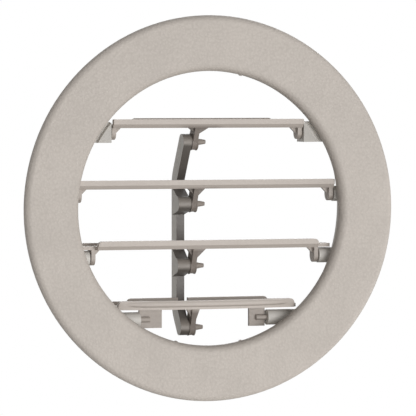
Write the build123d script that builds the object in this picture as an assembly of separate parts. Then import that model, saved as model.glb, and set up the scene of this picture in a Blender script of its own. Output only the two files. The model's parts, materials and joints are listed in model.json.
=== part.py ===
"""Round dashboard air vent: a bezel ring, a pivot carrier behind it, four vanes and their link bar.

Millimetres. X runs right along the vane pivots, Y into the dash and Z up.
The origin is on the ring's axis, in the plane where the ring seats on the dash.
"""

import math
import os
from dataclasses import dataclass

from build123d import *

# Bezel ring
RING_DIAMETER = 110.0
BORE_DIAMETER = 78.3
FACE_THICKNESS = 2.5
RIM_ROUNDING = 1.8
RIM_BACK_CHAMFER = 0.4
BORE_ROUNDING = 2.0
ROUNDING_STEPS = 3
LIP_WALL = 1.6
LIP_LENGTH = 0.5
SEAT_WIDTH = 2.4
BACK_RELIEF = 0.6

# Stakes that hold the carrier to the ring
STAKE_COUNT = 6
STAKE_FIRST_ANGLE = 15.0
STAKE_DIAMETER = 2.4
STAKE_HEAD_DIAMETER = 4.0
STAKE_HEAD_HEIGHT = 0.9
STAKE_CLEARANCE = 0.1

# Pivot carrier
COLLAR_DIAMETER = 96.0
COLLAR_WALL = 2.0
COLLAR_LENGTH = 20.0
FLANGE_THICKNESS = 2.0
SPIGOT_CLEARANCE = 0.1
POST_DIAMETER = 4.4
BLOCK_FRONT = 1.0
BLOCK_DEPTH = 6.0
BLOCK_HEIGHT_BELOW = 2.8
BLOCK_HEIGHT_ABOVE = 3.1
BLOCK_GROOVE_WIDTH = 1.3
BLOCK_GROOVE_DEPTH = 1.6
BLOCK_WALL = 2.2

# Snap tongues on the carrier's collar
PANEL_THICKNESS = 2.5
TONGUE_ANGLES = (58.0, 122.0, 238.0, 302.0)
TONGUE_WIDTH = 9.0
TONGUE_LENGTH = 12.0
TONGUE_SLOT = 1.4
BARB_HEIGHT = 1.4
BARB_LENGTH = 4.5
PANEL_CLEARANCE = 0.4

# Pivots, from the top vane down
TOP_PIVOT_Y = 3.7
TOP_PIVOT_Z = 21.6
PIVOT_LEAN = 0.85
PIVOT_PITCH = 17.8
PIN_DIAMETER = 1.6
PIN_CLEARANCE = 0.05
PIN_REACH = 2.4
PIN_END_PLAY = 0.4

# Vanes
PLATE_THICKNESS = 1.05
BEAD_HEIGHT = 1.45
BEAD_DEPTH = 1.7
PLATE_UNDERCUT = 0.6
BEAD_OVERHANG = 0.35
RIB_THICKNESS = 1.1
RIB_CORNER_SHARE = 0.7
LUG_THICKNESS = 1.2
LUG_RADIUS = 2.0
LUG_GUSSET = 1.8
GUSSET_THICKNESS = 1.1
REAR_CORNER = 2.5
EAR_CORNER = 0.8
EAR_REACH = 2.5

# Bottom vane's pivot tabs, which face the front
TAB_WIDTH = 5.7
TAB_DROP = 2.5
TAB_THICKNESS = 1.2
TAB_POST_GAP = 0.3
TAB_SETBACK = 0.5
TAB_SHIFT = 1.0
TAB_POST_FACE = 19.2

# Levers under the vanes and the link bar that joins them
LEVER_RIGHT_FACE = -1.45
LEVER_THICKNESS = 1.45
LEVER_EYE_RADIUS = 2.3
LEVER_ROOT_WIDTH = 4.4
LEVER_LEFT_WEB = 1.6
LEVER_WEB_LIFT = 0.6
PEG_BEHIND_PIVOT = 4.9
PEG_BELOW_PIVOT = 2.75
PEG_DIAMETER = 1.7
PEG_CLEARANCE = 0.05
PEG_HEAD_DIAMETER = 2.1
PEG_TIP_DIAMETER = 1.2
PEG_HEAD_LENGTH = 2.75
PEG_HEAD_SIDES = 12
PEG_SIDE_PLAY = 0.1
LINK_LEFT_FACE = -5.75
LINK_THICKNESS = 2.4
LINK_DEPTH = 4.6
LINK_BOW = 7.0
LINK_BEND_DROP = 10.8
LINK_BEND_RISE = 5.5
LINK_BEND_RADIUS = 6.0
LINK_BOSS_RADIUS = 2.2
LINK_ARM_OVERHANG = 1.15
LINK_ARM_OVERLAP = 0.5
LINK_ARM_RISE = 2.4
LINK_ARM_DROP = 1.0
LINK_ARM_CLEARANCE = 0.4
NOTCH_SIDE_CLEARANCE = 0.3


@dataclass
class VaneSizes:
    """What differs from one vane to the next."""

    place: int
    end_gap: float
    front: float
    rise: float
    rear_reach: float
    rear_taper: float
    carried_by: str = "post"
    bow: float = 0.0
    ear: float = 0.0
    lug_offset: float = 0.0
    bead_corner: float = 0.3
    web_reach: float = 3.05
    ribs: tuple = ()
    notch_reach: float | None = None


VANES = {
    "top_vane": VaneSizes(0, 1.9, -0.2, 2.4, 4.1, 6.0, carried_by="block", ribs=((21.2, 1.7),)),
    "upper_vane": VaneSizes(1, 0.2, 0.8, 2.85, 3.85, 5.0, lug_offset=0.1, web_reach=2.3),
    "lower_vane": VaneSizes(
        2, 4.85, -0.3, 3.5, 3.8, 1.7, ear=4.4, lug_offset=1.05, bead_corner=1.3, ribs=((35.3, 0.7),)
    ),
    "bottom_vane": VaneSizes(
        3,
        1.95,
        -0.6,
        4.1,
        5.75,
        1.4,
        carried_by="tab",
        bow=2.8,
        ear=0.9,
        bead_corner=1.3,
        web_reach=1.35,
        ribs=((25.9, 0.95), (21.2, 1.7)),
        notch_reach=2.6,
    ),
}

# Values worked out from the sizes above
BORE_RADIUS = BORE_DIAMETER / 2
RING_RADIUS = RING_DIAMETER / 2
COLLAR_RADIUS = COLLAR_DIAMETER / 2
FLANGE_INNER_RADIUS = BORE_RADIUS + LIP_WALL + SPIGOT_CLEARANCE
STAKE_CIRCLE_RADIUS = (FLANGE_INNER_RADIUS + COLLAR_RADIUS - COLLAR_WALL) / 2
LEVER_LEFT_FACE = LEVER_RIGHT_FACE - LEVER_THICKNESS
LINK_RIGHT_FACE = LINK_LEFT_FACE + LINK_THICKNESS
SIDES = (1, -1)


def pivot_y(place):
    """Depth of a vane's pivot axis: the row of pivots leans back as it goes down."""
    return TOP_PIVOT_Y + PIVOT_LEAN * place


def pivot_z(place):
    """Height of a vane's pivot axis."""
    return TOP_PIVOT_Z - PIVOT_PITCH * place


def peg_point(place):
    """Depth and height of the peg that joins a vane's lever to the link bar."""
    return pivot_y(place) + PEG_BEHIND_PIVOT, pivot_z(place) - PEG_BELOW_PIVOT


def bead_half_width(sizes):
    """Half the bore's chord at the bead's middle height, less the vane's end gap."""
    height = pivot_z(sizes.place) + sizes.rise + BEAD_HEIGHT / 2
    return math.sqrt(BORE_RADIUS**2 - height**2) - sizes.end_gap


def lug_outer_face(sizes):
    """Distance of a pivot lug's outer face from the middle of the vent."""
    return bead_half_width(sizes) + sizes.lug_offset


def turned(points):
    """Ring turned about the Y axis from a closed outline of radius and depth."""
    return revolve(make_face(Polyline(*points, close=True)), Axis.Y)


def tube(outer_radius, inner_radius, start, end):
    """Plain ring about the Y axis between two depths."""
    return turned([(inner_radius, start), (outer_radius, start), (outer_radius, end), (inner_radius, end)])


def rod(start, end, y, z, diameter):
    """Round rod along X between two X values."""
    low, high = min(start, end), max(start, end)
    plane = Plane(origin=(low, y, z), x_dir=(0, 1, 0), z_dir=(1, 0, 0))
    return extrude(plane * Circle(diameter / 2), high - low)


def block(x_range, y_range, z_range):
    """Box between the two ends given on each axis."""
    x0, x1 = sorted(x_range)
    y0, y1 = sorted(y_range)
    z0, z1 = sorted(z_range)
    return Pos((x0 + x1) / 2, (y0 + y1) / 2, (z0 + z1) / 2) * Box(x1 - x0, y1 - y0, z1 - z0)


def side_plate(outline, start, end):
    """Flat plate across X, from an outline of depth and height."""
    low, high = min(start, end), max(start, end)
    plane = Plane(origin=(low, 0, 0), x_dir=(0, 1, 0), z_dir=(1, 0, 0))
    return extrude(plane * outline, high - low)


def front_plate(outline, start, end):
    """Flat plate across Y, from an outline of X and height."""
    plane = Plane(origin=(0, end, 0), x_dir=(1, 0, 0), z_dir=(0, -1, 0))
    return extrude(plane * outline, end - start)


def corner(face, x, y):
    """The outline's corner nearest to a point."""
    return face.vertices().sort_by_distance((x, y, 0))[0]


def rounded(radius, depth, rounding, first_angle):
    """Points of a quarter-round corner of the ring's section, few enough to keep the ring's mesh light."""
    for step in range(ROUNDING_STEPS + 1):
        angle = math.radians(first_angle + 90 * step / ROUNDING_STEPS)
        yield radius + rounding * math.cos(angle), depth + rounding * math.sin(angle)


def bezel_ring():
    """Flat ring with a rounded rim and bore, a short lip round the bore and the stakes on its back."""
    face_y = -FACE_THICKNESS
    lip_outer = BORE_RADIUS + LIP_WALL
    seat_inner = RING_RADIUS - SEAT_WIDTH
    ring = turned(
        [
            *rounded(BORE_RADIUS + BORE_ROUNDING, face_y + BORE_ROUNDING, BORE_ROUNDING, 180),
            *rounded(RING_RADIUS - RIM_ROUNDING, face_y + RIM_ROUNDING, RIM_ROUNDING, 270),
            (RING_RADIUS, -RIM_BACK_CHAMFER),
            (RING_RADIUS - RIM_BACK_CHAMFER, 0),
            (seat_inner, 0),
            (seat_inner - BACK_RELIEF, -BACK_RELIEF),
            (COLLAR_RADIUS + BACK_RELIEF, -BACK_RELIEF),
            (COLLAR_RADIUS, 0),
            (lip_outer, 0),
            (lip_outer, LIP_LENGTH),
            (BORE_RADIUS, LIP_LENGTH),
        ]
    )
    head_end = FLANGE_THICKNESS + STAKE_HEAD_HEIGHT
    stake = tube(STAKE_DIAMETER / 2, 0, 0, FLANGE_THICKNESS)
    stake += tube(STAKE_HEAD_DIAMETER / 2, 0, FLANGE_THICKNESS, head_end)
    for place in stake_places():
        ring += place * stake
    return ring


def stake_places():
    """Where the stakes stand on the back of the ring."""
    step = 360 / STAKE_COUNT
    for index in range(STAKE_COUNT):
        angle = math.radians(STAKE_FIRST_ANGLE + step * index)
        yield Pos(STAKE_CIRCLE_RADIUS * math.cos(angle), 0, STAKE_CIRCLE_RADIUS * math.sin(angle))


def pivot_bore(start, side, place):
    """Blind hole for a vane's pin, from a post's inner face outwards."""
    depth = PIN_REACH + PIN_END_PLAY
    diameter = PIN_DIAMETER + 2 * PIN_CLEARANCE
    return rod(side * start, side * (start + depth), pivot_y(place), pivot_z(place), diameter)


def pivot_post(face, side, place):
    """Round post from its inner face out into the collar's wall."""
    y, z = pivot_y(place), pivot_z(place)
    middle = COLLAR_RADIUS - COLLAR_WALL / 2
    end = math.sqrt(middle**2 - z**2) + POST_DIAMETER
    return rod(side * face, side * end, y, z, POST_DIAMETER) & tube(middle, 0, 0, COLLAR_LENGTH)


def pivot_block(face, side, place):
    """Hollow bracket block that carries an end of the top vane, with a groove round the ring's lip."""
    y_range = (BLOCK_FRONT, BLOCK_FRONT + BLOCK_DEPTH)
    low = pivot_z(place) - BLOCK_HEIGHT_BELOW
    high = pivot_z(place) + BLOCK_HEIGHT_ABOVE
    shell = block((side * face, side * COLLAR_RADIUS), y_range, (low, high))
    inner_wall = PIN_REACH + PIN_END_PLAY + BLOCK_WALL / 2
    pocket = block(
        (side * (face + inner_wall), side * COLLAR_RADIUS),
        (BLOCK_FRONT + BLOCK_WALL, BLOCK_FRONT + BLOCK_DEPTH),
        (low + BLOCK_WALL, high - BLOCK_WALL),
    )
    groove = tube(BORE_RADIUS, BORE_RADIUS - BLOCK_GROOVE_WIDTH, BLOCK_FRONT, BLOCK_FRONT + BLOCK_GROOVE_DEPTH)
    middle = COLLAR_RADIUS - COLLAR_WALL / 2
    return (shell - pocket - groove) & tube(middle, 0, 0, COLLAR_LENGTH)


def snap_tongue_cuts():
    """Slots beside and in front of a tongue at the top of the collar, which leave it free at its front."""
    start = FLANGE_THICKNESS
    catch = PANEL_THICKNESS + PANEL_CLEARANCE
    half = TONGUE_WIDTH / 2 + TONGUE_SLOT
    heights = (COLLAR_RADIUS - 2 * COLLAR_WALL, COLLAR_RADIUS + 2 * COLLAR_WALL)
    cuts = [block((-half, half), (start, catch), heights)]
    for side in SIDES:
        cuts.append(block((side * TONGUE_WIDTH / 2, side * half), (start, start + TONGUE_LENGTH), heights))
    return cuts


def snap_barb():
    """Wedge on a tongue at the top of the collar: it catches behind the panel."""
    catch = PANEL_THICKNESS + PANEL_CLEARANCE
    base = COLLAR_RADIUS - COLLAR_WALL / 2
    outline = make_face(
        Polyline(
            (catch, base),
            (catch, COLLAR_RADIUS + BARB_HEIGHT),
            (catch + BARB_LENGTH / 3, COLLAR_RADIUS + BARB_HEIGHT),
            (catch + BARB_LENGTH, COLLAR_RADIUS),
            (catch + BARB_LENGTH, base),
            close=True,
        )
    )
    return side_plate(outline, -TONGUE_WIDTH / 2, TONGUE_WIDTH / 2)


def pivot_carrier():
    """Flanged collar behind the ring, with the posts and blocks that the vanes turn in."""
    carrier = tube(COLLAR_RADIUS, FLANGE_INNER_RADIUS, 0, FLANGE_THICKNESS)
    carrier += tube(COLLAR_RADIUS, COLLAR_RADIUS - COLLAR_WALL, 0, COLLAR_LENGTH)
    for sizes in VANES.values():
        for side in SIDES:
            if sizes.carried_by == "block":
                carrier += pivot_block(post_face(sizes), side, sizes.place)
            else:
                carrier += pivot_post(post_face(sizes), side, sizes.place)
            carrier -= pivot_bore(post_face(sizes), side, sizes.place)
    hole_radius = STAKE_DIAMETER / 2 + STAKE_CLEARANCE
    for place in stake_places():
        carrier -= place * tube(hole_radius, 0, -FLANGE_THICKNESS, 2 * FLANGE_THICKNESS)
    for angle in TONGUE_ANGLES:
        turn = Rot(0, 90 - angle, 0)
        carrier += turn * snap_barb()
        for cut in snap_tongue_cuts():
            carrier -= turn * cut
    return carrier


def post_face(sizes):
    """Distance of a post's inner face from the middle of the vent."""
    if sizes.carried_by == "tab":
        return TAB_POST_FACE
    return lug_outer_face(sizes) + PIN_END_PLAY


def plate_outline(sizes):
    """Plan of a vane's plate: straight or bowed front, ears over the posts and a tapered back."""
    half = bead_half_width(sizes)
    front = sizes.front + BEAD_OVERHANG
    side = front + sizes.bow
    ear_start = pivot_y(sizes.place) - EAR_REACH
    ear_half = half + sizes.ear
    shoulder = pivot_y(sizes.place) + LUG_RADIUS
    rear = pivot_y(sizes.place) + sizes.rear_reach
    back_half = ear_half - sizes.rear_taper
    right = [(half, side)]
    if sizes.ear > 0:
        right += [(half, ear_start), (ear_half, ear_start)]
    right += [(ear_half, shoulder), (back_half, rear)]
    left = [(-x, y) for x, y in reversed(right)]
    if sizes.bow > 0:
        edge = ThreePointArc(left[-1], (0, front), right[0])
    else:
        edge = Line(left[-1], right[0])
    outline = make_face([edge, Polyline(*right, *left)])
    for sign in SIDES:
        outline = fillet(corner(outline, sign * back_half, rear), REAR_CORNER)
        outline = fillet(corner(outline, sign * ear_half, shoulder), EAR_CORNER)
    return outline


def front_bead(sizes):
    """Rail along the top of a vane's front edge, rounded at its upper ends."""
    half = bead_half_width(sizes)
    low = pivot_z(sizes.place) + sizes.rise
    high = low + BEAD_HEIGHT
    outline = make_face(Polyline((-half, low), (half, low), (half, high), (-half, high), close=True))
    for sign in SIDES:
        outline = fillet(corner(outline, sign * half, high), sizes.bead_corner)
    front, back = sizes.front, sizes.front + BEAD_DEPTH
    if sizes.bow == 0:
        return front_plate(outline, front, back)
    rail = front_plate(outline, front, back + sizes.bow)
    strip_front = ThreePointArc((-half, front + sizes.bow), (0, front), (half, front + sizes.bow))
    strip_back = ThreePointArc((half, back + sizes.bow), (0, back), (-half, back + sizes.bow))
    ends = [Line(strip_front @ 1, strip_back @ 0), Line(strip_back @ 1, strip_front @ 0)]
    strip = make_face([strip_front, ends[0], strip_back, ends[1]])
    return rail & extrude(Pos(0, 0, low) * strip, BEAD_HEIGHT)


def plate_undercut(sizes):
    """Wedge cut off the plate's front edge under the bead, so that the edge faces down a little."""
    front = sizes.front + BEAD_OVERHANG
    high = pivot_z(sizes.place) + sizes.rise
    low = high - PLATE_THICKNESS
    outline = make_face(Polyline((front, high), (front + PLATE_UNDERCUT, low), (front, low), close=True))
    half = bead_half_width(sizes)
    return side_plate(outline, -half, half)


def rear_rib(sizes, half, height):
    """Rib along the top of a vane's back edge, with rounded upper ends."""
    low = pivot_z(sizes.place) + sizes.rise
    high = low + height
    outline = make_face(Polyline((-half, low), (half, low), (half, high), (-half, high), close=True))
    for sign in SIDES:
        outline = fillet(corner(outline, sign * half, high), RIB_CORNER_SHARE * height)
    rear = pivot_y(sizes.place) + sizes.rear_reach
    return front_plate(outline, rear - RIB_THICKNESS, rear)


def end_lug(sizes, side):
    """Round-ended lug under a vane's end, its gusset and the pin on its outer face."""
    y, z = pivot_y(sizes.place), pivot_z(sizes.place)
    outer = lug_outer_face(sizes)
    inner = outer - LUG_THICKNESS
    under = z + sizes.rise - PLATE_THICKNESS
    outline = Pos(y, z) * Circle(LUG_RADIUS)
    outline += make_face(
        Polyline(
            (y - LUG_RADIUS, z),
            (y + LUG_RADIUS, z),
            (y + LUG_RADIUS, under + PLATE_THICKNESS / 2),
            (y - LUG_RADIUS, under + PLATE_THICKNESS / 2),
            close=True,
        )
    )
    lug = side_plate(outline, side * inner, side * outer)
    gusset = make_face(
        Polyline(
            (side * inner, under),
            (side * (inner - LUG_GUSSET), under),
            (side * inner, under - LUG_GUSSET),
            close=True,
        )
    )
    lug += front_plate(gusset, y - GUSSET_THICKNESS / 2, y + GUSSET_THICKNESS / 2)
    pin_end = outer + PIN_END_PLAY + PIN_REACH
    return lug + rod(side * (outer - LUG_THICKNESS / 2), side * pin_end, y, z, PIN_DIAMETER)


def front_tab(sizes, side):
    """Square tab that faces the front under the bottom vane, with a pin along its face."""
    y, z = pivot_y(sizes.place), pivot_z(sizes.place)
    outer = TAB_POST_FACE - TAB_POST_GAP
    inner = outer - TAB_WIDTH + side * TAB_SHIFT
    top = z + sizes.rise - PLATE_THICKNESS / 2
    face = y + TAB_SETBACK
    tab = block((side * inner, side * outer), (face, face + TAB_THICKNESS), (z - TAB_DROP, top))
    pin_start = outer - TAB_WIDTH / 2
    pin_end = TAB_POST_FACE + PIN_REACH
    tab += rod(side * pin_start, side * pin_end, y, z, PIN_DIAMETER)
    return tab


def lever(sizes):
    """Flat lever under a vane, with an eye for the link bar's peg and a flared web across it."""
    y, z = pivot_y(sizes.place), pivot_z(sizes.place)
    peg_y, peg_z = peg_point(sizes.place)
    under = z + sizes.rise - PLATE_THICKNESS
    root = y + PEG_BEHIND_PIVOT / 2
    half_root = LEVER_ROOT_WIDTH / 2
    outline = Pos(peg_y, peg_z) * Circle(LEVER_EYE_RADIUS)
    outline += make_face(
        Polyline(
            (peg_y - LEVER_EYE_RADIUS, peg_z),
            (peg_y + LEVER_EYE_RADIUS, peg_z),
            (root + half_root, under + PLATE_THICKNESS / 2),
            (root - half_root, under + PLATE_THICKNESS / 2),
            close=True,
        )
    )
    arm = side_plate(outline, LEVER_LEFT_FACE, LEVER_RIGHT_FACE)
    web_low = peg_z + LEVER_EYE_RADIUS
    web = make_face(
        Polyline(
            (LEVER_LEFT_FACE, web_low + LEVER_WEB_LIFT),
            (LEVER_LEFT_FACE - LEVER_LEFT_WEB, under),
            (LEVER_RIGHT_FACE + sizes.web_reach, under),
            (LEVER_RIGHT_FACE, web_low),
            close=True,
        )
    )
    arm += front_plate(web, root - GUSSET_THICKNESS / 2, root + GUSSET_THICKNESS / 2)
    hole = PEG_DIAMETER + 2 * PEG_CLEARANCE
    return arm - rod(LEVER_LEFT_FACE, LEVER_RIGHT_FACE, peg_y, peg_z, hole)


def link_notch(sizes):
    """Space in the back edge of a vane that the link bar moves through."""
    start = pivot_y(sizes.place) + sizes.notch_reach
    top = pivot_z(sizes.place) + sizes.rise
    return block(
        (LINK_LEFT_FACE - NOTCH_SIDE_CLEARANCE, LINK_RIGHT_FACE + NOTCH_SIDE_CLEARANCE),
        (start, start + 2 * sizes.rear_reach),
        (top - 2 * PLATE_THICKNESS, top + sizes.rear_reach),
    )


def vane(sizes):
    """One vane: plate, bead, rib, pivots at both ends and the lever for the link bar."""
    under = pivot_z(sizes.place) + sizes.rise - PLATE_THICKNESS
    body = extrude(Pos(0, 0, under) * plate_outline(sizes), PLATE_THICKNESS)
    body += front_bead(sizes)
    if sizes.bow == 0:
        body -= plate_undercut(sizes)
    for half, height in sizes.ribs:
        body += rear_rib(sizes, half, height)
    if sizes.notch_reach is not None:
        body -= link_notch(sizes)
    for side in SIDES:
        if sizes.carried_by == "tab":
            body += front_tab(sizes, side)
        else:
            body += end_lug(sizes, side)
    return body + lever(sizes)


def link_bar():
    """Bowed bar with a boss and a tapered snap peg for each vane's lever."""
    first, last = peg_point(0), peg_point(3)
    back = first[0] + LINK_BOW
    path = FilletPolyline(
        first,
        (back, first[1] - LINK_BEND_DROP),
        (back, last[1] + LINK_BEND_RISE),
        last,
        radius=LINK_BEND_RADIUS,
    )
    outline = make_face(offset(path, LINK_DEPTH / 2))
    half = LINK_DEPTH / 2
    for peg_y, peg_z in (first, last):
        outline += Pos(peg_y, peg_z) * Circle(half)
    bar = side_plate(outline, LINK_LEFT_FACE, LINK_RIGHT_FACE)
    for place in range(1, len(VANES) - 1):
        bar += link_arm(*peg_point(place), back - half)
    for place in range(len(VANES)):
        bar += link_peg(*peg_point(place))
    return bar


def link_arm(y, z, bar_front):
    """Arm from the bar's front to a middle boss, wider than the bar and deeper above the boss than below."""
    half = LINK_DEPTH / 2
    root = bar_front + LINK_ARM_OVERLAP
    outline = Pos(y, z) * Circle(half)
    outline += make_face(
        Polyline(
            (y, z - half),
            (root, z - half - LINK_ARM_DROP),
            (root, z + half + LINK_ARM_RISE),
            (y, z + half),
            close=True,
        )
    )
    return side_plate(outline, LINK_LEFT_FACE - LINK_ARM_OVERHANG, LEVER_LEFT_FACE - LINK_ARM_CLEARANCE)


def link_peg(y, z):
    """Boss up to a lever's left face, a shank through its eye and a tapered head past it."""
    boss_end = LEVER_LEFT_FACE - PEG_SIDE_PLAY
    head_start = LEVER_RIGHT_FACE + PEG_SIDE_PLAY
    peg = rod(LINK_LEFT_FACE, boss_end, y, z, 2 * LINK_BOSS_RADIUS)
    peg += rod(boss_end, head_start, y, z, PEG_DIAMETER)
    base = Plane(origin=(head_start, y, z), x_dir=(0, 1, 0), z_dir=(1, 0, 0))
    tip = base.offset(PEG_HEAD_LENGTH)
    wide = base * RegularPolygon(PEG_HEAD_DIAMETER / 2, PEG_HEAD_SIDES)
    narrow = tip * RegularPolygon(PEG_TIP_DIAMETER / 2, PEG_HEAD_SIDES)
    return peg + loft([wide, narrow])


def main():
    """Write each piece to its own file."""
    os.makedirs("parts", exist_ok=True)
    pieces = {"bezel_ring": bezel_ring(), "pivot_carrier": pivot_carrier(), "link_bar": link_bar()}
    for name, sizes in VANES.items():
        pieces[name] = vane(sizes)
    for name, piece in pieces.items():
        export_step(piece, f"parts/{name}.step")


main()
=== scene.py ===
"""Dashboard air vent: finishes for the moulded pieces, small moulding details and the studio."""

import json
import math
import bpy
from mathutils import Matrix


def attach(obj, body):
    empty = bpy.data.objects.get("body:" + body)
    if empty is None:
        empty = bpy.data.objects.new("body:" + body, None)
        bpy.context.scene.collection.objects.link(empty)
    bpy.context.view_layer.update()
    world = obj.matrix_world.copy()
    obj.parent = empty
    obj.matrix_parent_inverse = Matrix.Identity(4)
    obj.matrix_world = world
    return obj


bl_info = {
    "name": "Dashboard Air Vent",
    "version": (1, 0, 0),
    "blender": (4, 5, 0),
    "location": "View3D > Sidebar > Air Vent",
    "description": "Dresses the packed vent with moulded plastic finishes and a plain studio",
    "category": "Object",
}

import bpy
import numpy as np
from bpy.props import FloatProperty, FloatVectorProperty, PointerProperty, StringProperty
from mathutils import Vector

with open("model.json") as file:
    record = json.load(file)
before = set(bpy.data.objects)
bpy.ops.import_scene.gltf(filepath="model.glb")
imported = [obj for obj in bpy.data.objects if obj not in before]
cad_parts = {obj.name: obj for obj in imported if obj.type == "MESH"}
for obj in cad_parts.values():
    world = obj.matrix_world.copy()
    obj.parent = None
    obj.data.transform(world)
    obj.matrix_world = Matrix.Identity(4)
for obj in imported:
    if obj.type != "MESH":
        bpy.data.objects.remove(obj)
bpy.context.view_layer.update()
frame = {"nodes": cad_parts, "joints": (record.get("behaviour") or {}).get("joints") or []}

MM = 0.001
VANE_NODES = ("top_vane", "upper_vane", "lower_vane", "bottom_vane")

# Top vane's pivot and peg, and the step from one vane to the next, in millimetres, from the joints
JOINTS_MM = {joint["name"]: np.array(joint["pos_m"]) / MM for joint in frame["joints"]}
TOP_PIVOT_MM = JOINTS_MM["top_vane_tilt"]
VANE_STEP_MM = JOINTS_MM["upper_vane_tilt"] - TOP_PIVOT_MM
TOP_PEG_MM = JOINTS_MM["link_swing"] - VANE_STEP_MM

# Direction into the duct along which all the vanes lie equally deep, although the row leans
INWARD = (0.0, 1.0, -VANE_STEP_MM[1] / VANE_STEP_MM[2])
DOWN = (0.0, 0.0, -1.0)

# Ring's lip: its radius, the depth of its rear edge, and the nibs on that edge, placed round the axis
LIP_RADIUS_MM = 39.15
LIP_END_MM = 0.5
NIB_ANGLES = (76.3, 255.2, 283.7)
NIB_HALF_LENGTH_MM = 0.55
NIB_HALF_DEPTH_MM = 0.35
NIB_INSET_MM = 0.15

# Levers: the two side faces, and the eye that the link bar's peg passes through
LEVER_FACES_MM = (-2.9, -1.45)
EYE_RADIUS_MM = 2.3
EYE_WAIST_MM = 0.1
EYE_WALL_MM = 0.9

# Bottom vane's bead: its front, how far it bows, half its length, and the roll along its front
BEAD_FRONT_MM = -0.6
BEAD_BOW_MM = 2.8
BEAD_HALF_MM = 26.4
ROLL_HEIGHTS_MM = (-28.05, -26.3)
ROLL_END_GAP_MM = 0.8
ROLL_SEAT_MM = 0.3

# Ejector pins' marks: their angles, and for each back face the radius of their circle and the face's depth
MARK_ANGLES = range(45, 360, 60)
FLANGE_BACK_MM = (43.4, 2.0)
RING_BACK_MM = (50.3, -0.6)

# Where each painted shade or painted light starts and is full in millimetres, and the lugs' and tabs' share
# of the levers' painted shade
BORE_FADE_MM = (LIP_RADIUS_MM, 41.6)
POST_FADE_MM = (2.1, 2.45)
VANE_DEPTH_SHADE_FADE_MM = (3.0, 7.0)
LINK_DEPTH_SHADE_FADE_MM = (7.8, 9.0)
PEG_FADE_MM = (LEVER_FACES_MM[1], -1.25)
UNDER_PLATE_FADE_MM = (2.4, 1.4)
LEVER_FADE_MM = (7.0, 4.0)
LUG_SHARE = 0.26

# The same for painted shade and light by facing, as cosines of the angle between a face's normal and a
# direction
VANE_UNDER_COSINES = (0.2, 0.6)
LINK_UNDER_COSINES = (0.15, 0.5)
LINK_FLANK_COSINES = (0.35, 0.9)

# Moulded plastic: a refractive index between acetal and ABS, and how its grain is made up
PLASTIC_IOR = 1.49
FINE_PER_CELL = 1.7
FINE_SHARE = 0.6
CELL_EDGE = 0.7
VALLEY_ROUGHNESS = 0.08
CROWN_ROUGHNESS = -0.06
DRIFT_MM = 11.0
GRAIN_IN_DRIFT = 0.5
DRIFT_RANGE = (0.5, 1.1)

# Distance within which the corners of a solid's loose triangles are joined
WELD_MM = 0.002

# Photograph's camera: its frame in pixels, the point that the vent's axis falls on, and its reach in metres
PHOTO_SIZE = 416.0
PHOTO_AXIS_X = 205.915
PHOTO_AXIS_Y = 207.997
PHOTO_PIXELS_PER_MM = 3.497
SENSOR_WIDTH = 36.0
NEAREST = 0.01
FARTHEST = 100.0

# Lamps, each with its place in metres, its width in metres and its power in watts
LAMPS = {
    "key_lamp": ((0.28, -1.48, -0.09), 0.8, 13.6),
    "side_lamp": ((1.2, -0.34, -0.3), 0.6, 4.2),
    "fill_lamp": ((-0.5, -1.35, 0.15), 0.8, 0.6),
    "back_lamp": ((0.55, 1.3, 0.45), 1.0, 7.5),
}
AMBIENT_COLOUR = (1.0, 0.99, 0.98, 1.0)
AMBIENT_STRENGTH = 0.28
WHITE = (1.0, 1.0, 1.0, 1.0)

# Floor in metres, small so that the low key lamp shines in past its front edge, and its share of white
FLOOR_HALF = 0.3
FLOOR_HEX = "F4F3F1"
FLOOR_FADE = (0.09, 0.17)
FLOOR_NEAR_WHITE = 0.85


def linear(hex_colour):
    """Linear colour with alpha from an sRGB hex value: the sRGB curve undone for each channel."""
    channels = np.array([int(hex_colour[i : i + 2], 16) for i in (0, 2, 4)]) / 255.0
    low = channels / 12.92
    high = ((channels + 0.055) / 1.055) ** 2.4
    return (*np.where(channels <= 0.04045, low, high).tolist(), 1.0)


def add_node(tree, kind, inputs=None, **settings):
    """Add a node with its settings; each input is a plain value or the socket that feeds it."""
    node = tree.nodes.new(kind)
    for name, value in settings.items():
        setattr(node, name, value)
    for name, value in (inputs or {}).items():
        if isinstance(value, bpy.types.NodeSocket):
            tree.links.new(value, node.inputs[name])
        else:
            node.inputs[name].default_value = value
    return node


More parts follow.
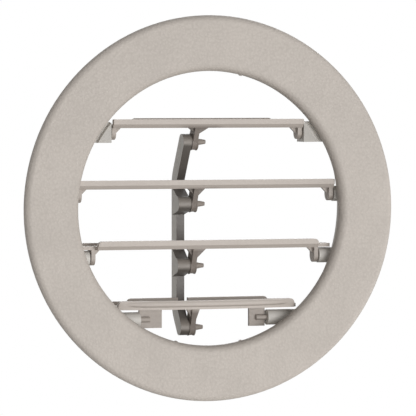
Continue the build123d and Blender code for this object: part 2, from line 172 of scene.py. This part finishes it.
class VentFinish(bpy.types.PropertyGroup):
    """Colours, painted light and shade, and grain of the moulded plastics."""

    trim_hex: StringProperty(
        name="Trim",
        description="Warm grey of the ring, sRGB hex",
        default="C1B9B1",
    )
    # Painted shade round the ring's bore
    bore_shade_hex: StringProperty(
        name="Bore",
        description="Duller grey round the ring's bore, sRGB hex",
        default="B7AFA7",
    )
    vane_hex: StringProperty(
        name="Vanes",
        description="Warm grey of the vanes, sRGB hex",
        default="C0B7AF",
    )
    # Painted shade on the vanes' faces that look down
    vane_under_shade_hex: StringProperty(
        name="Vane undersides",
        description="Duller grey of the faces that look down, sRGB hex",
        default="A79E96",
    )
    # Painted shade on the vanes' parts that lie deep in the duct
    vane_depth_shade_hex: StringProperty(
        name="Vane depth shade",
        description="Darker painted-shade grey of the vanes' rear parts, sRGB hex",
        default="B8AFA7",
    )
    # Painted shade on the levers under each vane's plate
    lever_shade_hex: StringProperty(
        name="Lever shade",
        description="Darker grey of the levers that reach to the link bar, sRGB hex",
        default="7E756E",
    )
    carrier_hex: StringProperty(
        name="Carrier",
        description="Cooler grey of the blocks, sRGB hex",
        default="B6B2AC",
    )
    # Painted light on the posts that the ring shades
    post_light_hex: StringProperty(
        name="Posts",
        description="Paler grey of the posts behind the ring, sRGB hex",
        default="D4D0CA",
    )
    link_hex: StringProperty(
        name="Link",
        description="Grey of the link bar's bosses, sRGB hex",
        default="8A837C",
    )
    # Painted light on the link bar's flat sides
    link_flank_light_hex: StringProperty(
        name="Link flank",
        description="Paler grey of the link bar's flat sides, sRGB hex",
        default="C6C3BD",
    )
    # Painted light on the pegs and bosses that stand clear of the shaded bar
    peg_light_hex: StringProperty(
        name="Pegs",
        description="Paler grey of the pegs that stand clear of the levers, sRGB hex",
        default="968D85",
    )
    # Painted shade on the link's faces that look down
    link_under_shade_hex: StringProperty(
        name="Link undersides",
        description="Darkest grey of the link's faces that look down, sRGB hex",
        default="5A5550",
    )
    # Painted shade on the link's edges that lie deep in the duct
    link_depth_shade_hex: StringProperty(
        name="Link depth shade",
        description="Darker grey of the edges that lie deep in the duct, sRGB hex",
        default="625D59",
    )
    # Real trim grain is taken as 0.3 mm wide, a pixel of the photograph, so it is drawn coarser to show
    grain_mm: FloatProperty(
        name="Grain",
        description="Width of one cell of the ring's moulded grain in mm",
        default=0.75,
        min=0.1,
    )
    grain_depth_mm: FloatProperty(
        name="Grain depth",
        description="Depth of the ring's moulded grain in mm",
        default=0.08,
        min=0.0,
    )
    # Real spark-eroded texture is taken as finer than a pixel, so it is drawn coarser to show
    satin_mm: FloatProperty(
        name="Satin",
        description="Width of the spark-eroded texture on the other pieces in mm",
        default=0.45,
        min=0.1,
    )


class VentEdges(bpy.types.PropertyGroup):
    """How the moulded edges are softened."""

    edge_mm: FloatProperty(
        name="Edge",
        description="Width of the small rounding on moulded edges in mm",
        default=0.16,
        min=0.01,
    )
    sharp_angle: FloatProperty(
        name="Sharp angle",
        description="Edges that turn by more than this stay crisp",
        default=math.radians(32),
        subtype="ANGLE",
    )


class VentMoulding(bpy.types.PropertyGroup):
    """Sizes of the small moulded details."""

    nib_mm: FloatProperty(
        name="Nib",
        description="How far a nib stands in from the lip in mm",
        default=0.3,
        min=0.05,
    )
    eye_rim_mm: FloatProperty(
        name="Eye rim",
        description="How far the rims of a lever's eye stand proud in mm",
        default=0.18,
        min=0.05,
        max=0.25,
    )
    roll_mm: FloatProperty(
        name="Bead roll",
        description="How far the bottom vane's rolled bead swells in mm",
        default=0.25,
        min=0.05,
        max=0.3,
    )
    mark_mm: FloatProperty(
        name="Pin mark",
        description="Width of an ejector pin's mark in mm",
        default=2.4,
        min=0.5,
        max=3.0,
    )
    mark_height_mm: FloatProperty(
        name="Pin mark height",
        description="How far an ejector pin's mark stands up in mm",
        default=0.12,
        min=0.02,
    )


class VentStudio(bpy.types.PropertyGroup):
    """Camera and floor."""

    azimuth: FloatProperty(
        name="Azimuth",
        description="Camera's turn round the vent",
        default=math.radians(-18.1),
        subtype="ANGLE",
    )
    elevation: FloatProperty(
        name="Elevation",
        description="Camera's height over the vent",
        default=math.radians(1.96),
        subtype="ANGLE",
    )
    distance: FloatProperty(
        name="Distance",
        description="Camera's distance from the vent",
        default=1.0,
        unit="LENGTH",
    )
    target: FloatVectorProperty(
        name="Target",
        description="Point on the vent's axis that the camera was fitted to",
        default=(0, 0.0035, 0),
        subtype="TRANSLATION",
    )
    floor_height: FloatProperty(
        name="Floor",
        description="Height of the floor under the vent",
        default=-0.2,
        unit="LENGTH",
    )


def plastic(name, roughness, cell_mm, depth_mm, mottle):
    """Moulded plastic: a soft sheen broken by shallow grain cells, with faint unevenness in its colour.

    Height is a Voronoi cell's rounded dome plus finer noise. The colour is multiplied by a value that falls a
    little in the valleys and drifts slowly over the piece. Returns the material and the input for its colour.
    """
    material = bpy.data.materials.new(name)
    material.use_nodes = True
    tree = material.node_tree
    shader = tree.nodes["Principled BSDF"]
    shader.inputs["IOR"].default_value = PLASTIC_IOR
    place = add_node(tree, "ShaderNodeTexCoord").outputs["Object"]
    per_metre = 1.0 / (cell_mm * MM)
    cells = add_node(
        tree,
        "ShaderNodeTexVoronoi",
        {"Vector": place, "Scale": per_metre, "Smoothness": 0.3},
        feature="SMOOTH_F1",
    )
    fine = add_node(
        tree,
        "ShaderNodeTexNoise",
        {"Vector": place, "Scale": per_metre * FINE_PER_CELL, "Detail": 2.0, "Roughness": 0.6},
    )
    height = add_node(
        tree,
        "ShaderNodeMath",
        {0: fine.outputs["Fac"], 1: FINE_SHARE, 2: cells.outputs["Distance"]},
        operation="MULTIPLY_ADD",
    )
    bump = add_node(
        tree,
        "ShaderNodeBump",
        {"Strength": 1.0, "Distance": depth_mm * MM, "Height": height.outputs["Value"]},
        invert=True,
    )
    tree.links.new(bump.outputs["Normal"], shader.inputs["Normal"])
    sheen = add_node(
        tree,
        "ShaderNodeMapRange",
        {
            "Value": cells.outputs["Distance"],
            "From Min": 0.0,
            "From Max": CELL_EDGE,
            "To Min": roughness + CROWN_ROUGHNESS,
            "To Max": roughness + VALLEY_ROUGHNESS,
        },
    )
    tree.links.new(sheen.outputs["Result"], shader.inputs["Roughness"])
    slow = add_node(
        tree,
        "ShaderNodeTexNoise",
        {"Vector": place, "Scale": 1.0 / (DRIFT_MM * MM), "Detail": 3.0, "Roughness": 0.55},
    )
    drift = add_node(
        tree,
        "ShaderNodeMath",
        {0: height.outputs["Value"], 1: GRAIN_IN_DRIFT, 2: slow.outputs["Fac"]},
        operation="MULTIPLY_ADD",
    )
    shade = add_node(
        tree,
        "ShaderNodeMapRange",
        {
            "Value": drift.outputs["Value"],
            "From Min": DRIFT_RANGE[0],
            "From Max": DRIFT_RANGE[1],
            "To Min": 1.0 + mottle,
            "To Max": 1.0 - mottle,
        },
    )
    tint = add_node(tree, "ShaderNodeVectorMath", {"Scale": shade.outputs["Result"]}, operation="SCALE")
    tree.links.new(tint.outputs["Vector"], shader.inputs["Base Color"])
    return material, tint.inputs[0]


def lay_over(tree, base, colour, value, start, end):
    """Colour laid over the base, itself a colour or a socket, as a value's socket goes from start to end."""
    share = add_node(tree, "ShaderNodeMapRange", {"Value": value, "From Min": start, "From Max": end})
    mix = add_node(
        tree,
        "ShaderNodeMix",
        {0: share.outputs["Result"], 4: base, 5: linear(colour)[:3]},
        data_type="VECTOR",
    )
    return mix.outputs[1]


def by_distance(tree, base, colour, direction, fade_mm):
    """Colour laid over the base along a direction, fading in between two distances from the origin."""
    place = add_node(tree, "ShaderNodeTexCoord").outputs["Object"]
    distance = add_node(tree, "ShaderNodeVectorMath", {0: place, 1: direction}, operation="DOT_PRODUCT")
    start, end = fade_mm
    return lay_over(tree, base, colour, distance.outputs["Value"], start * MM, end * MM)


def by_radius(tree, base, colour, fade_mm):
    """Colour laid over the base away from the ring's axis, fading in between two radii."""
    place = add_node(tree, "ShaderNodeTexCoord").outputs["Object"]
    across = add_node(tree, "ShaderNodeVectorMath", {0: place, 1: (1, 0, 1)}, operation="MULTIPLY")
    radius = add_node(tree, "ShaderNodeVectorMath", {0: across.outputs["Vector"]}, operation="LENGTH")
    start, end = fade_mm
    return lay_over(tree, base, colour, radius.outputs["Value"], start * MM, end * MM)


def by_facing(tree, base, colour, direction, cosines):
    """Colour laid over the base where faces turn to a direction, fading in between two cosines."""
    normal = add_node(tree, "ShaderNodeTexCoord").outputs["Normal"]
    facing = add_node(tree, "ShaderNodeVectorMath", {0: normal, 1: direction}, operation="DOT_PRODUCT")
    start, end = cosines
    return lay_over(tree, base, colour, facing.outputs["Value"], start, end)


def by_lever(tree, base, colour):
    """Painted shade laid over the base under each vane's plate: fully on the levers, faintly on the lugs and
    tabs.

    Heights are wrapped from pivot to pivot, so that one range of heights serves all the vanes.
    """
    place = add_node(tree, "ShaderNodeTexCoord").outputs["Object"]
    axes = add_node(tree, "ShaderNodeSeparateXYZ", {0: place})
    over_top = add_node(
        tree,
        "ShaderNodeMath",
        {0: axes.outputs["Z"], 1: TOP_PIVOT_MM[2] * MM},
        operation="SUBTRACT",
    )
    half_step = abs(VANE_STEP_MM[2]) / 2 * MM
    over_pivot = add_node(
        tree,
        "ShaderNodeMath",
        {0: over_top.outputs["Value"], 1: half_step, 2: -half_step},
        operation="WRAP",
    )
    start, end = UNDER_PLATE_FADE_MM
    under = add_node(
        tree,
        "ShaderNodeMapRange",
        {"Value": over_pivot.outputs["Value"], "From Min": start * MM, "From Max": end * MM},
    )
    faint = add_node(tree, "ShaderNodeMath", {0: under.outputs["Result"], 1: LUG_SHARE}, operation="MULTIPLY")
    middle = sum(LEVER_FACES_MM) / 2 * MM
    offset = add_node(tree, "ShaderNodeMath", {0: axes.outputs["X"], 1: middle}, operation="SUBTRACT")
    away = add_node(tree, "ShaderNodeMath", {0: offset.outputs["Value"]}, operation="ABSOLUTE")
    far, near = LEVER_FADE_MM
    share = add_node(
        tree,
        "ShaderNodeMapRange",
        {
            "Value": away.outputs["Value"],
            "From Min": far * MM,
            "From Max": near * MM,
            "To Min": faint.outputs["Value"],
            "To Max": under.outputs["Result"],
        },
    )
    return lay_over(tree, base, colour, share.outputs["Result"], 0.0, 1.0)


def crisp_edges_group(angle):
    """Geometry nodes that shade faces smooth and keep edges crisp where they turn by more than the angle."""
    group = bpy.data.node_groups.new("crisp_edges", "GeometryNodeTree")
    group.interface.new_socket("Geometry", in_out="INPUT", socket_type="NodeSocketGeometry")
    group.interface.new_socket("Geometry", in_out="OUTPUT", socket_type="NodeSocketGeometry")
    start = add_node(group, "NodeGroupInput")
    turn = add_node(group, "GeometryNodeInputMeshEdgeAngle")
    gentle = add_node(
        group,
        "FunctionNodeCompare",
        {"A": turn.outputs["Unsigned Angle"], "B": angle},
        operation="LESS_EQUAL",
        data_type="FLOAT",
    )
    faces = add_node(
        group,
        "GeometryNodeSetShadeSmooth",
        {"Geometry": start.outputs["Geometry"]},
        domain="FACE",
    )
    edges = add_node(
        group,
        "GeometryNodeSetShadeSmooth",
        {"Geometry": faces.outputs["Geometry"], "Shade Smooth": gentle.outputs["Result"]},
        domain="EDGE",
    )
    add_node(group, "NodeGroupOutput", {"Geometry": edges.outputs["Geometry"]})
    return group


def soften(piece, edges):
    """Join the solid's loose triangles, round its edges a little and shade its curves smooth."""
    weld = piece.modifiers.new("join", "WELD")
    weld.merge_threshold = WELD_MM * MM
    bevel = piece.modifiers.new("moulded_edge", "BEVEL")
    bevel.width = edges.edge_mm * MM
    bevel.segments = 2
    bevel.limit_method = "ANGLE"
    bevel.angle_limit = edges.sharp_angle
    crisp = piece.modifiers.new("crisp_edges", "NODES")
    crisp.node_group = bpy.data.node_groups.get("crisp_edges") or crisp_edges_group(edges.sharp_angle)
    flats = piece.modifiers.new("true_flats", "WEIGHTED_NORMAL")
    flats.keep_sharp = True


def dress(node, material, edges):
    """Give a solid its finish and its softened edges."""
    piece = frame["nodes"][node]
    piece.data.materials.clear()
    piece.data.materials.append(material)
    soften(piece, edges)


def grid(x, y, z):
    """Rings of points from three coordinates that are spread over the same rows and columns."""
    return np.stack(np.broadcast_arrays(x, y, z), axis=-1)


def closed_mesh(name, rings, loop):
    """Closed mesh from rings of points, each ring joined to the next.

    The last ring joins the first in a loop; otherwise a face caps each end. The faces turn the way that gives
    the mesh a positive volume, so they point outwards.
    """
    rows, columns, _ = rings.shape
    index = np.arange(rows * columns).reshape(rows, columns)
    first = index if loop else index[:-1]
    second = np.roll(index, -1, axis=0) if loop else index[1:]
    corners = (first, np.roll(first, -1, axis=1), np.roll(second, -1, axis=1), second)
    quads = np.stack(corners, axis=-1).reshape(-1, 4)
    points = rings.reshape(-1, 3)
    a, b, c, d = (points[quads[:, k]] - points.mean(axis=0) for k in range(4))
    volume = np.sum(a * np.cross(b, c)) + np.sum(a * np.cross(c, d))
    way = 1 if volume > 0 else -1
    faces = quads[:, ::way].tolist()
    if not loop:
        faces += [index[0][::-way].tolist(), index[-1][::way].tolist()]
    mesh = bpy.data.meshes.new(name)
    mesh.from_pydata((points * MM).tolist(), [], faces)
    mesh.polygons.foreach_set("use_smooth", np.ones(len(faces), dtype=bool))
    mesh.set_sharp_from_angle(angle=bpy.context.scene.vent_edges.sharp_angle)
    return mesh


def add_piece(name, rings, material, body, loop=False):
    """Put a closed piece in the scene with its finish, on the body that carries it."""
    mesh = closed_mesh(name, rings, loop)
    mesh.materials.append(bpy.data.materials[material])
    piece = bpy.data.objects.new(name, mesh)
    bpy.context.scene.collection.objects.link(piece)
    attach(piece, body)


def nib_rings(angle, proud):
    """Moulding nib: a small ellipsoid that stands half out of the lip, over its rear edge.

    Its section is an ellipse, which shrinks as the cosine of an angle from -84 to 84 degrees along the nib.
    """
    along = np.radians(np.linspace(-84, 84, 13))[:, None]
    section = np.radians(np.arange(0, 360, 24))
    radius = LIP_RADIUS_MM + proud * np.cos(along) * np.cos(section)
    depth = LIP_END_MM - NIB_INSET_MM + NIB_HALF_DEPTH_MM * np.cos(along) * np.sin(section)
    turn = np.radians(angle) + np.sin(along) * NIB_HALF_LENGTH_MM / LIP_RADIUS_MM
    return grid(radius * np.cos(turn), depth, radius * np.sin(turn))


def eye_rings(place, proud):
    """Rim round a lever's eye: a spool about the peg, high at both faces and low between them.

    The outer radius is the waist's plus a swell that follows the squared cosine of half a turn from face to
    face; the inner radius lies inside the lever.
    """
    left = LEVER_FACES_MM[0] - proud
    right = LEVER_FACES_MM[1] + proud
    share = np.linspace(0, 1, 13)
    waist = EYE_RADIUS_MM - EYE_WAIST_MM
    outer = waist + (proud + EYE_WAIST_MM) * np.cos(np.pi * share) ** 2
    inner = np.full(2, EYE_RADIUS_MM - EYE_WALL_MM)
    radius = np.concatenate([outer, inner])
    across = np.concatenate([left + (right - left) * share, [right, left]])
    turn = np.radians(np.arange(0, 360, 10))[:, None]
    _, peg_y, peg_z = TOP_PEG_MM + VANE_STEP_MM * place
    return grid(across, peg_y + radius * np.cos(turn), peg_z + radius * np.sin(turn))


def roll_rings(swell):
    """Rolled front of the bottom vane's bead: an ellipse carried along the bead's bow, closing at both ends.

    The bow is a circle's arc through the bead's middle and ends. The ellipse's size is the square root of one
    less the eighth power of the share of the way to an end, so it stays full and closes steeply.
    """
    share = np.sin(np.radians(np.linspace(-88, 88, 45)))[:, None]
    section = np.radians(np.arange(0, 360, 15))
    arc_radius = (BEAD_HALF_MM**2 + BEAD_BOW_MM**2) / (2 * BEAD_BOW_MM)
    x = share * (BEAD_HALF_MM - ROLL_END_GAP_MM)
    front = BEAD_FRONT_MM + arc_radius - np.sqrt(arc_radius**2 - x**2)
    size = np.sqrt(1 - share**8)
    depth = front + ROLL_SEAT_MM + (ROLL_SEAT_MM + swell) * size * np.cos(section)
    low, high = ROLL_HEIGHTS_MM
    height = (low + high) / 2 + (high - low) / 2 * size * np.sin(section)
    return grid(x, depth, height)


def mark_rings(angle, circle_radius, face, width, height):
    """Ejector pin's mark: a low round disc with a rounded rim, its foot set into the face that it stands on.

    Each ring is a circle. As an angle rises from foot to top, its radius follows the cosine and its height
    the sine.
    """
    rise = np.radians([-30, 0, 25, 50, 70, 90])[:, None]
    turn = np.radians(np.arange(0, 360, 15))
    radius = width / 2 - height + height * np.cos(rise)
    depth = face + height * np.sin(rise)
    x = circle_radius * np.cos(np.radians(angle)) + radius * np.cos(turn)
    z = circle_radius * np.sin(np.radians(angle)) + radius * np.sin(turn)
    return grid(x, depth, z)


class VENT_OT_ring(bpy.types.Operator):
    """Finish the bezel ring in grained trim plastic"""

    bl_idname = "vent.ring"
    bl_label = "Bezel Ring"

    def execute(self, context):
        finish = context.scene.vent_finish
        # Leather grain etched into the mould: a dull, even face with a pebbled break-up, and painted shade
        # round the bore
        trim, colour_input = plastic(
            "grained_abs_trim",
            roughness=0.58,
            cell_mm=finish.grain_mm,
            depth_mm=finish.grain_depth_mm,
            mottle=0.055,
        )
        tree = trim.node_tree
        # Painted shade: duller grey round the bore, where its wall lies in shade
        base = linear(finish.bore_shade_hex)[:3]
        colour = by_radius(tree, base, finish.trim_hex, BORE_FADE_MM)
        tree.links.new(colour, colour_input)
        dress("bezel_ring", trim, context.scene.vent_edges)
        return {"FINISHED"}


class VENT_OT_carrier(bpy.types.Operator):
    """Finish the pivot carrier in satin plastic"""

    bl_idname = "vent.carrier"
    bl_label = "Pivot Carrier"

    def execute(self, context):
        finish = context.scene.vent_finish
        # Spark-eroded mould: cooler and plainer than the trim, with a slight sheen, and painted light on the
        # round posts behind the ring
        satin, colour_input = plastic(
            "satin_abs_carrier",
            roughness=0.5,
            cell_mm=finish.satin_mm,
            depth_mm=0.006,
            mottle=0.03,
        )
        tree = satin.node_tree
        base = linear(finish.carrier_hex)[:3]
        # Painted light: the posts deep behind the ring are paler, where the ring shades them
        colour = by_distance(tree, base, finish.post_light_hex, INWARD, POST_FADE_MM)
        tree.links.new(colour, colour_input)
        dress("pivot_carrier", satin, context.scene.vent_edges)
        return {"FINISHED"}


class VENT_OT_vanes(bpy.types.Operator):
    """Finish the vanes in satin plastic"""

    bl_idname = "vent.vanes"
    bl_label = "Vanes"

    def execute(self, context):
        finish = context.scene.vent_finish
        # Spark-eroded mould with clean edges and a satin sheen, with painted shade deep in the duct, on faces
        # that look down and on the levers
        satin, colour_input = plastic(
            "satin_abs_vane",
            roughness=0.52,
            cell_mm=finish.satin_mm,
            depth_mm=0.008,
            mottle=0.03,
        )
        tree = satin.node_tree
        base = linear(finish.vane_hex)[:3]
        # Painted shade: darker deeper in the duct
        colour = by_distance(tree, base, finish.vane_depth_shade_hex, INWARD, VANE_DEPTH_SHADE_FADE_MM)
        # Painted shade: darker on faces that look down
        colour = by_facing(tree, colour, finish.vane_under_shade_hex, DOWN, VANE_UNDER_COSINES)
        # Painted shade: darker under each vane's plate, on the levers and faintly on the lugs and tabs
        colour = by_lever(tree, colour, finish.lever_shade_hex)
        tree.links.new(colour, colour_input)
        for node in VANE_NODES:
            dress(node, satin, context.scene.vent_edges)
        return {"FINISHED"}


class VENT_OT_link(bpy.types.Operator):
    """Finish the link bar in darker plastic"""

    bl_idname = "vent.link"
    bl_label = "Link Bar"

    def execute(self, context):
        finish = context.scene.vent_finish
        # Slippery bearing plastic, smooth, with painted light on its flanks and pegs and painted shade on its
        # deep edges and undersides
        acetal, colour_input = plastic(
            "moulded_acetal_link",
            roughness=0.45,
            cell_mm=finish.satin_mm,
            depth_mm=0.006,
            mottle=0.05,
        )
        tree = acetal.node_tree
        base = linear(finish.link_hex)[:3]
        # Painted shade: darker deeper in the duct
        colour = by_distance(tree, base, finish.link_depth_shade_hex, INWARD, LINK_DEPTH_SHADE_FADE_MM)
        # Painted shade: darkest on faces that look down
        colour = by_facing(tree, colour, finish.link_under_shade_hex, DOWN, LINK_UNDER_COSINES)
        # Painted light: paler on the flat sides that face left and right
        for side in (-1, 1):
            colour = by_facing(tree, colour, finish.link_flank_light_hex, (side, 0, 0), LINK_FLANK_COSINES)
        # Painted light: paler on the pegs and bosses that stand clear of the bar
        colour = by_distance(tree, colour, finish.peg_light_hex, (1, 0, 0), PEG_FADE_MM)
        tree.links.new(colour, colour_input)
        dress("link_bar", acetal, context.scene.vent_edges)
        return {"FINISHED"}


class VENT_OT_nibs(bpy.types.Operator):
    """Add the moulding nibs on the lip's rear edge"""

    bl_idname = "vent.nibs"
    bl_label = "Lip Nibs"

    def execute(self, context):
        proud = context.scene.vent_moulding.nib_mm
        for count, angle in enumerate(NIB_ANGLES):
            rings = nib_rings(angle, proud)
            add_piece(f"lip_nib_{count}", rings, "grained_abs_trim", "frame")
        return {"FINISHED"}


class VENT_OT_eyes(bpy.types.Operator):
    """Add the rims round the levers' eyes"""

    bl_idname = "vent.eyes"
    bl_label = "Lever Eyes"

    def execute(self, context):
        proud = context.scene.vent_moulding.eye_rim_mm
        for place, vane in enumerate(VANE_NODES):
            rings = eye_rings(place, proud)
            add_piece(f"eye_rim_{place}", rings, "satin_abs_vane", vane, loop=True)
        return {"FINISHED"}


class VENT_OT_roll(bpy.types.Operator):
    """Add the rolled front of the bottom vane's bead"""

    bl_idname = "vent.roll"
    bl_label = "Bottom Bead"

    def execute(self, context):
        rings = roll_rings(context.scene.vent_moulding.roll_mm)
        add_piece("bottom_bead_roll", rings, "satin_abs_vane", "bottom_vane")
        return {"FINISHED"}


class VENT_OT_marks(bpy.types.Operator):
    """Add the ejector pins' marks on the backs of the ring and the carrier"""

    bl_idname = "vent.marks"
    bl_label = "Ejector Marks"

    def execute(self, context):
        moulding = context.scene.vent_moulding
        backs = (
            ("flange_mark", FLANGE_BACK_MM, "satin_abs_carrier", "carrier_plastic"),
            ("ring_mark", RING_BACK_MM, "grained_abs_trim", "grained_trim"),
        )
        for name, (circle_radius, face), material, slot in backs:
            for count, angle in enumerate(MARK_ANGLES):
                rings = mark_rings(angle, circle_radius, face, moulding.mark_mm, moulding.mark_height_mm)
                add_piece(f"{name}_{count}", rings, material, "frame")
        return {"FINISHED"}


def aim(thing, point):
    """Turn a lamp or camera so that it looks at a point."""
    thing.rotation_euler = (Vector(point) - thing.location).to_track_quat("-Z", "Y").to_euler()


def area_lamp(name, place, width, watts):
    """Square soft lamp that looks at the vent."""
    data = bpy.data.lights.new(name, "AREA")
    data.size = width
    data.energy = watts
    lamp = bpy.data.objects.new(name, data)
    bpy.context.scene.collection.objects.link(lamp)
    lamp.location = place
    aim(lamp, (0, 0, 0))


def photo_camera(studio):
    """Camera at the photograph's angle, with a lens that gives its pixels per millimetre at the vent."""
    data = bpy.data.cameras.new("photo_camera")
    data.sensor_width = SENSOR_WIDTH
    pixels_focal = PHOTO_PIXELS_PER_MM / MM * studio.distance
    data.lens = pixels_focal / PHOTO_SIZE * SENSOR_WIDTH
    data.clip_start = NEAREST
    data.clip_end = FARTHEST
    camera = bpy.data.objects.new("photo_camera", data)
    bpy.context.scene.collection.objects.link(camera)
    turn = studio.azimuth
    rise = studio.elevation
    back = Vector((math.sin(turn) * math.cos(rise), -math.cos(turn) * math.cos(rise), math.sin(rise)))
    right = Vector((math.cos(turn), math.sin(turn), 0))
    up = back.cross(right)
    target = Vector(studio.target)
    pixel = MM / PHOTO_PIXELS_PER_MM
    off_right = (PHOTO_SIZE / 2 - PHOTO_AXIS_X) * pixel
    off_up = (PHOTO_AXIS_Y - PHOTO_SIZE / 2) * pixel
    camera.location = target + back * studio.distance
    aim(camera, target + right * off_right + up * off_up)
    bpy.context.scene.camera = camera


def background_rays(tree):
    """Socket that is 1 for rays that show the background: from the camera, mirrored, or through glass."""
    path = add_node(tree, "ShaderNodeLightPath")
    seen = path.outputs["Is Camera Ray"]
    for kind in ("Is Glossy Ray", "Is Transmission Ray"):
        either = add_node(tree, "ShaderNodeMath", {0: seen, 1: path.outputs[kind]}, operation="MAXIMUM")
        seen = either.outputs["Value"]
    return seen


def white_surround():
    """World that shows plain white as background and lights the vent with a weak, even ambient."""
    world = bpy.data.worlds.new("studio")
    world.use_nodes = True
    tree = world.node_tree
    ambient = tree.nodes["Background"]
    ambient.inputs["Color"].default_value = AMBIENT_COLOUR
    ambient.inputs["Strength"].default_value = AMBIENT_STRENGTH
    white = add_node(tree, "ShaderNodeBackground", {"Color": WHITE, "Strength": 1.0})
    mix = add_node(
        tree,
        "ShaderNodeMixShader",
        {0: background_rays(tree), 1: ambient.outputs["Background"], 2: white.outputs["Background"]},
    )
    tree.links.new(mix.outputs["Shader"], tree.nodes["World Output"].inputs["Surface"])
    bpy.context.scene.world = world


def pale_floor(studio):
    """Pale painted floor, shown as white, with a little of its lit paint near the vent for a soft shadow."""
    paint = bpy.data.materials.new("pale_floor_paint")
    paint.use_nodes = True
    tree = paint.node_tree
    shader = tree.nodes["Principled BSDF"]
    shader.inputs["Base Color"].default_value = linear(FLOOR_HEX)
    shader.inputs["Roughness"].default_value = 0.9
    place = add_node(tree, "ShaderNodeTexCoord").outputs["Object"]
    across = add_node(tree, "ShaderNodeVectorMath", {0: place, 1: (1, 1, 0)}, operation="MULTIPLY")
    reach = add_node(tree, "ShaderNodeVectorMath", {0: across.outputs["Vector"]}, operation="LENGTH")
    fade = add_node(
        tree,
        "ShaderNodeMapRange",
        {
            "Value": reach.outputs["Value"],
            "From Min": FLOOR_FADE[0],
            "From Max": FLOOR_FADE[1],
            "To Min": FLOOR_NEAR_WHITE,
            "To Max": 1.0,
        },
        interpolation_type="SMOOTHSTEP",
    )
    seen = add_node(
        tree,
        "ShaderNodeMath",
        {0: background_rays(tree), 1: fade.outputs["Result"]},
        operation="MULTIPLY",
    )
    white = add_node(tree, "ShaderNodeEmission", {"Color": WHITE, "Strength": 1.0})
    mix = add_node(
        tree,
        "ShaderNodeMixShader",
        {0: seen.outputs["Value"], 1: shader.outputs["BSDF"], 2: white.outputs["Emission"]},
    )
    tree.links.new(mix.outputs["Shader"], tree.nodes["Material Output"].inputs["Surface"])
    corners = FLOOR_HALF * np.array([[-1, -1], [1, -1], [1, 1], [-1, 1]])
    points = np.column_stack([corners, np.full(4, studio.floor_height)])
    mesh = bpy.data.meshes.new("floor")
    mesh.from_pydata(points.tolist(), [], [(0, 1, 2, 3)])
    mesh.materials.append(paint)
    floor = bpy.data.objects.new("floor", mesh)
    bpy.context.scene.collection.objects.link(floor)


class VENT_OT_stage(bpy.types.Operator):
    """Make the floor, the lamps, the white surround and the camera"""

    bl_idname = "vent.stage"
    bl_label = "Studio"

    def execute(self, context):
        studio = context.scene.vent_studio
        context.scene.view_settings.view_transform = "Standard"
        white_surround()
        pale_floor(studio)
        for name, (place, width, watts) in LAMPS.items():
            area_lamp(name, place, width, watts)
        photo_camera(studio)
        return {"FINISHED"}


class VENT_PT_panel(bpy.types.Panel):
    """Lists the vent's steps and settings"""

    bl_idname = "VENT_PT_panel"
    bl_label = "Air Vent"
    bl_space_type = "VIEW_3D"
    bl_region_type = "UI"
    bl_category = "Air Vent"

    def draw(self, context):
        for step in STEPS:
            self.layout.operator(step.bl_idname)
        for attribute in GROUPS:
            group = getattr(context.scene, attribute)
            for name in group.__annotations__:
                self.layout.prop(group, name)


GROUPS = {
    "vent_finish": VentFinish,
    "vent_edges": VentEdges,
    "vent_moulding": VentMoulding,
    "vent_studio": VentStudio,
}
STEPS = (
    VENT_OT_ring,
    VENT_OT_carrier,
    VENT_OT_vanes,
    VENT_OT_link,
    VENT_OT_nibs,
    VENT_OT_eyes,
    VENT_OT_roll,
    VENT_OT_marks,
    VENT_OT_stage,
)
CLASSES = (*GROUPS.values(), *STEPS, VENT_PT_panel)


def register():
    """Register the classes and hang the settings on the scene."""
    for item in CLASSES:
        bpy.utils.register_class(item)
    for name, group in GROUPS.items():
        setattr(bpy.types.Scene, name, PointerProperty(type=group))


def unregister():
    """Take the settings and the classes away again."""
    for name in GROUPS:
        delattr(bpy.types.Scene, name)
    for item in reversed(CLASSES):
        bpy.utils.unregister_class(item)


def main():
    """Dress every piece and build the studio."""
    register()
    bpy.ops.vent.ring()
    bpy.ops.vent.carrier()
    bpy.ops.vent.vanes()
    bpy.ops.vent.link()
    bpy.ops.vent.nibs()
    bpy.ops.vent.eyes()
    bpy.ops.vent.roll()
    bpy.ops.vent.marks()
    bpy.ops.vent.stage()


if __name__ == "__main__":
    main()
